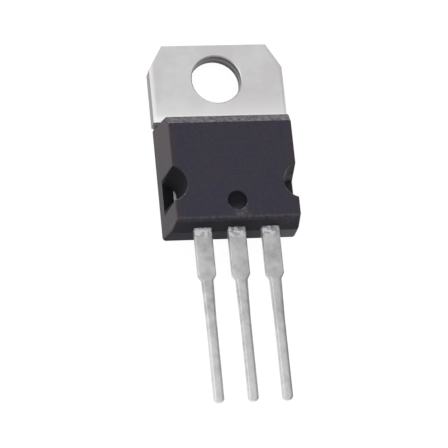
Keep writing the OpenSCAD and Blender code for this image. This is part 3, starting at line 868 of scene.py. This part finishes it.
    bump = add(tree, "ShaderNodeBump", {"Height": grain, "Strength": 0.25, "Distance": 0.01 * MM})
    matte = add(tree, "ShaderNodeMapRange", {"Value": grain, "To Min": 0.5, "To Max": 0.62})
    rough = add(tree, "ShaderNodeMath", [dark, 0.35, matte], operation="MULTIPLY_ADD",
                use_clamp=True)
    shader = add(tree, "ShaderNodeBsdfPrincipled",
                 {"Base Color": tone, "Roughness": rough, "Specular IOR Level": 0.3,
                  "Normal": bump})
    add(tree, "ShaderNodeOutputMaterial", {"Surface": shader})
    return made


def broken_epoxy(colours):
    """Moulding compound broken off at deflashing. The eye gets a rough, pale grey edge,
    mottled by the filler."""
    made, tree = new_material("epoxy_compound_broken")
    place = add(tree, "ShaderNodeTexCoord").node.outputs["Object"]
    filler = add(tree, "ShaderNodeTexNoise",
                 {"Vector": place, "Scale": 1 / (0.15 * MM), "Detail": 2.0, "Roughness": 0.6})
    share = add(tree, "ShaderNodeMapRange", {"Value": filler, "From Min": 0.35, "From Max": 0.65})
    tone = add(tree, "ShaderNodeMix",
               {"Factor": share, "A": colours.broken, "B": colours.scuff_and_sheen}, data_type="RGBA")
    shader = add(tree, "ShaderNodeBsdfPrincipled", {"Base Color": tone, "Roughness": 0.8})
    add(tree, "ShaderNodeOutputMaterial", {"Surface": shader})
    return made


def sawn_silicon():
    """Polished silicon chip: dark violet grey and glossy, with fine circuit blocks."""
    made, tree = new_material("silicon_sawn")
    place = add(tree, "ShaderNodeTexCoord").node.outputs["Object"]
    blocks = add(tree, "ShaderNodeTexVoronoi", {"Vector": place, "Scale": 1 / (0.25 * MM)},
                 feature="DISTANCE_TO_EDGE", distance="MINKOWSKI")
    lines = add(tree, "ShaderNodeMapRange", {"Value": blocks, "From Max": 0.1})
    tone = add(tree, "ShaderNodeMix",
               {"Factor": lines, "A": linear("#8c8a96"), "B": linear("#55525f")}, data_type="RGBA")
    shader = add(tree, "ShaderNodeBsdfPrincipled", {"Base Color": tone, "Roughness": 0.15})
    add(tree, "ShaderNodeOutputMaterial", {"Surface": shader})
    return made


def grained_metal(name, grain, low, high, rough):
    """Metal whose colour shifts between two tones over its grain."""
    made, tree = new_material(name)
    place = add(tree, "ShaderNodeTexCoord").node.outputs["Object"]
    grains = add(tree, "ShaderNodeTexNoise", {"Vector": place, "Scale": 1 / grain})
    tone = add(tree, "ShaderNodeMix",
               {"Factor": grains, "A": linear(low), "B": linear(high)}, data_type="RGBA")
    shader = add(tree, "ShaderNodeBsdfPrincipled",
                 {"Base Color": tone, "Metallic": 1.0, "Roughness": rough})
    add(tree, "ShaderNodeOutputMaterial", {"Surface": shader})
    return made


# Studio


# The camera and the point that it looks at, fitted to the photo
CAMERA_PLACE = Vector((-45.344, -90.777, 218.364)) * MM
CAMERA_TARGET = Vector((-0.7, -11.939, 2.0)) * MM
# Half the floor's side, how far it lies below the part, and the share of its white that
# shows whatever falls on it, so that its shadow is faint
FLOOR_HALF = 1.5
FLOOR_DROP = 0.02 * MM
FLOOR_GLOW = 0.93
WHITE = (1, 1, 1, 1)
# Place, width and height of the key light
KEY_PLACE = Vector((-0.135, 0.26, 0.06))
KEY_SIZE = (0.25, 0.08)
# Cards that the metal mirrors, with felt to its right and lit paper to its left: their
# corners in mm, shader and look. Two of them lie just above the floor.
LOW = -0.01
FELT = ("ShaderNodeBsdfDiffuse", {"Color": linear("#c0c0c0")})
CARDS = {
    "felt_side": ([(40, -60, 0), (40, 45, 0), (40, 45, 36), (40, -60, 36)], *FELT),
    "felt_floor": ([(5, -13.5, LOW), (5, -60, LOW), (40, -60, LOW), (40, -13.5, LOW)], *FELT),
    "light_strip": ([(-200, -60, 0), (-200, 100, 0), (-200, 100, 240), (-200, -60, 240)],
                    "ShaderNodeEmission", {"Color": WHITE, "Strength": 1.7}),
    "light_floor": ([(-200, -15.5, LOW), (-200, -60, LOW), (2, -60, LOW), (2, -15.5, LOW)],
                    "ShaderNodeEmission", {"Color": WHITE, "Strength": 1.3}),
}


def seen_directly(tree):
    """1 for rays from the camera or off metal and glass, and 0 for soft light."""
    rays = add(tree, "ShaderNodeLightPath").node.outputs
    mirrored = add(tree, "ShaderNodeMath", [rays["Is Glossy Ray"], rays["Is Transmission Ray"]],
                   operation="MAXIMUM")
    return add(tree, "ShaderNodeMath", [rays["Is Camera Ray"], mirrored], operation="MAXIMUM")


def white_floor():
    """Plain matte white board."""
    made, tree = new_material("board_white_matte")
    board = add(tree, "ShaderNodeBsdfDiffuse", {"Color": linear("#a8a8a8")})
    dim = add(tree, "ShaderNodeBsdfDiffuse", {"Color": linear("#6e6e6e")})
    glow = add(tree, "ShaderNodeEmission", {"Color": WHITE, "Strength": FLOOR_GLOW})
    shown = add(tree, "ShaderNodeAddShader", [dim, glow])
    surface = add(tree, "ShaderNodeMixShader", [seen_directly(tree), board, shown])
    add(tree, "ShaderNodeOutputMaterial", {"Surface": surface})
    return made


def sheet(name, corners):
    """Flat object with four corners."""
    mesh = bpy.data.meshes.new(name)
    mesh.from_pydata(corners, [], [(0, 1, 2, 3)])
    return mesh_object(name, mesh)


def card(name, corners, kind, look):
    """Card that only mirrored light sees, so it neither lights nor shades the board."""
    obj = sheet(name, [[value * MM for value in corner] for corner in corners])
    made, tree = new_material(name)
    surface = add(tree, kind, look)
    add(tree, "ShaderNodeOutputMaterial", {"Surface": surface})
    dress(obj, made)
    obj.visible_camera = False
    obj.visible_diffuse = False
    obj.visible_shadow = False


def key_light(power):
    """Soft lamp that lights but isn't mirrored, so that no rim of the metal burns out."""
    lamp = bpy.data.lights.new("key", "AREA")
    lamp.shape = "RECTANGLE"
    lamp.size, lamp.size_y = KEY_SIZE
    lamp.energy = power
    obj = bpy.data.objects.new("key", lamp)
    obj.location = KEY_PLACE
    obj.rotation_euler = (CAMERA_TARGET - KEY_PLACE).to_track_quat("-Z", "Y").to_euler()
    obj.visible_glossy = False
    bpy.context.scene.collection.objects.link(obj)


class REGULATOR_OT_stage(bpy.types.Operator):
    """Set up the floor, the light and the camera"""
    bl_idname = "regulator.stage"
    bl_label = "Studio"

    def execute(self, context):
        studio = context.scene.regulator_studio
        floor = sheet("floor", [(x * FLOOR_HALF, y * FLOOR_HALF, -FLOOR_DROP)
                                for x, y in ((-1, -1), (1, -1), (1, 1), (-1, 1))])
        dress(floor, white_floor())

        world = bpy.data.worlds.new("white_room")
        world.use_nodes = True
        world.node_tree.nodes.clear()
        tree = world.node_tree
        sky = add(tree, "ShaderNodeBackground", {"Color": WHITE, "Strength": studio.sky})
        white = add(tree, "ShaderNodeBackground", {"Color": WHITE, "Strength": 1.0})
        both = add(tree, "ShaderNodeMixShader", [seen_directly(tree), sky, white])
        add(tree, "ShaderNodeOutputWorld", {"Surface": both})
        context.scene.world = world

        key_light(studio.key)
        for name, described in CARDS.items():
            card(name, *described)

        lens = bpy.data.cameras.new("camera")
        lens.lens = studio.lens
        lens.clip_start = 1 * MM
        camera = bpy.data.objects.new("camera", lens)
        aim = (CAMERA_TARGET - CAMERA_PLACE).to_track_quat("-Z", "Y").to_matrix()
        turned = aim @ Matrix.Rotation(studio.roll, 3, "Z")
        camera.matrix_world = Matrix.Translation(CAMERA_PLACE) @ turned.to_4x4()
        context.scene.collection.objects.link(camera)
        context.scene.camera = camera
        context.scene.view_settings.view_transform = "Standard"
        return {"FINISHED"}


# Add-on


OPERATORS = (REGULATOR_OT_leads, REGULATOR_OT_tab, REGULATOR_OT_body, REGULATOR_OT_flash,
             REGULATOR_OT_chip, REGULATOR_OT_stage)
SETTINGS = {"regulator_leads": RegulatorLeads, "regulator_tab": RegulatorTab,
            "regulator_case": RegulatorCase, "regulator_studio": RegulatorStudio}


class REGULATOR_PT_finish(bpy.types.Panel):
    bl_label = "Voltage regulator"
    bl_space_type = "VIEW_3D"
    bl_region_type = "UI"
    bl_category = "Regulator"

    def draw(self, context):
        for operator in OPERATORS:
            self.layout.operator(operator.bl_idname)
        for name, group in SETTINGS.items():
            box = self.layout.box()
            for setting in group.__annotations__:
                box.prop(getattr(context.scene, name), setting)


def register():
    for cls in (*SETTINGS.values(), *OPERATORS, REGULATOR_PT_finish):
        bpy.utils.register_class(cls)
    for name, group in SETTINGS.items():
        setattr(bpy.types.Scene, name, bpy.props.PointerProperty(type=group))


def unregister():
    for name in SETTINGS:
        delattr(bpy.types.Scene, name)
    for cls in (REGULATOR_PT_finish, *reversed(OPERATORS), *reversed(SETTINGS.values())):
        bpy.utils.unregister_class(cls)


def main():
    register()
    bpy.ops.regulator.leads()
    bpy.ops.regulator.tab()
    bpy.ops.regulator.body()
    bpy.ops.regulator.flash()
    bpy.ops.regulator.chip()
    bpy.ops.regulator.stage()


if __name__ == "__main__":
    main()
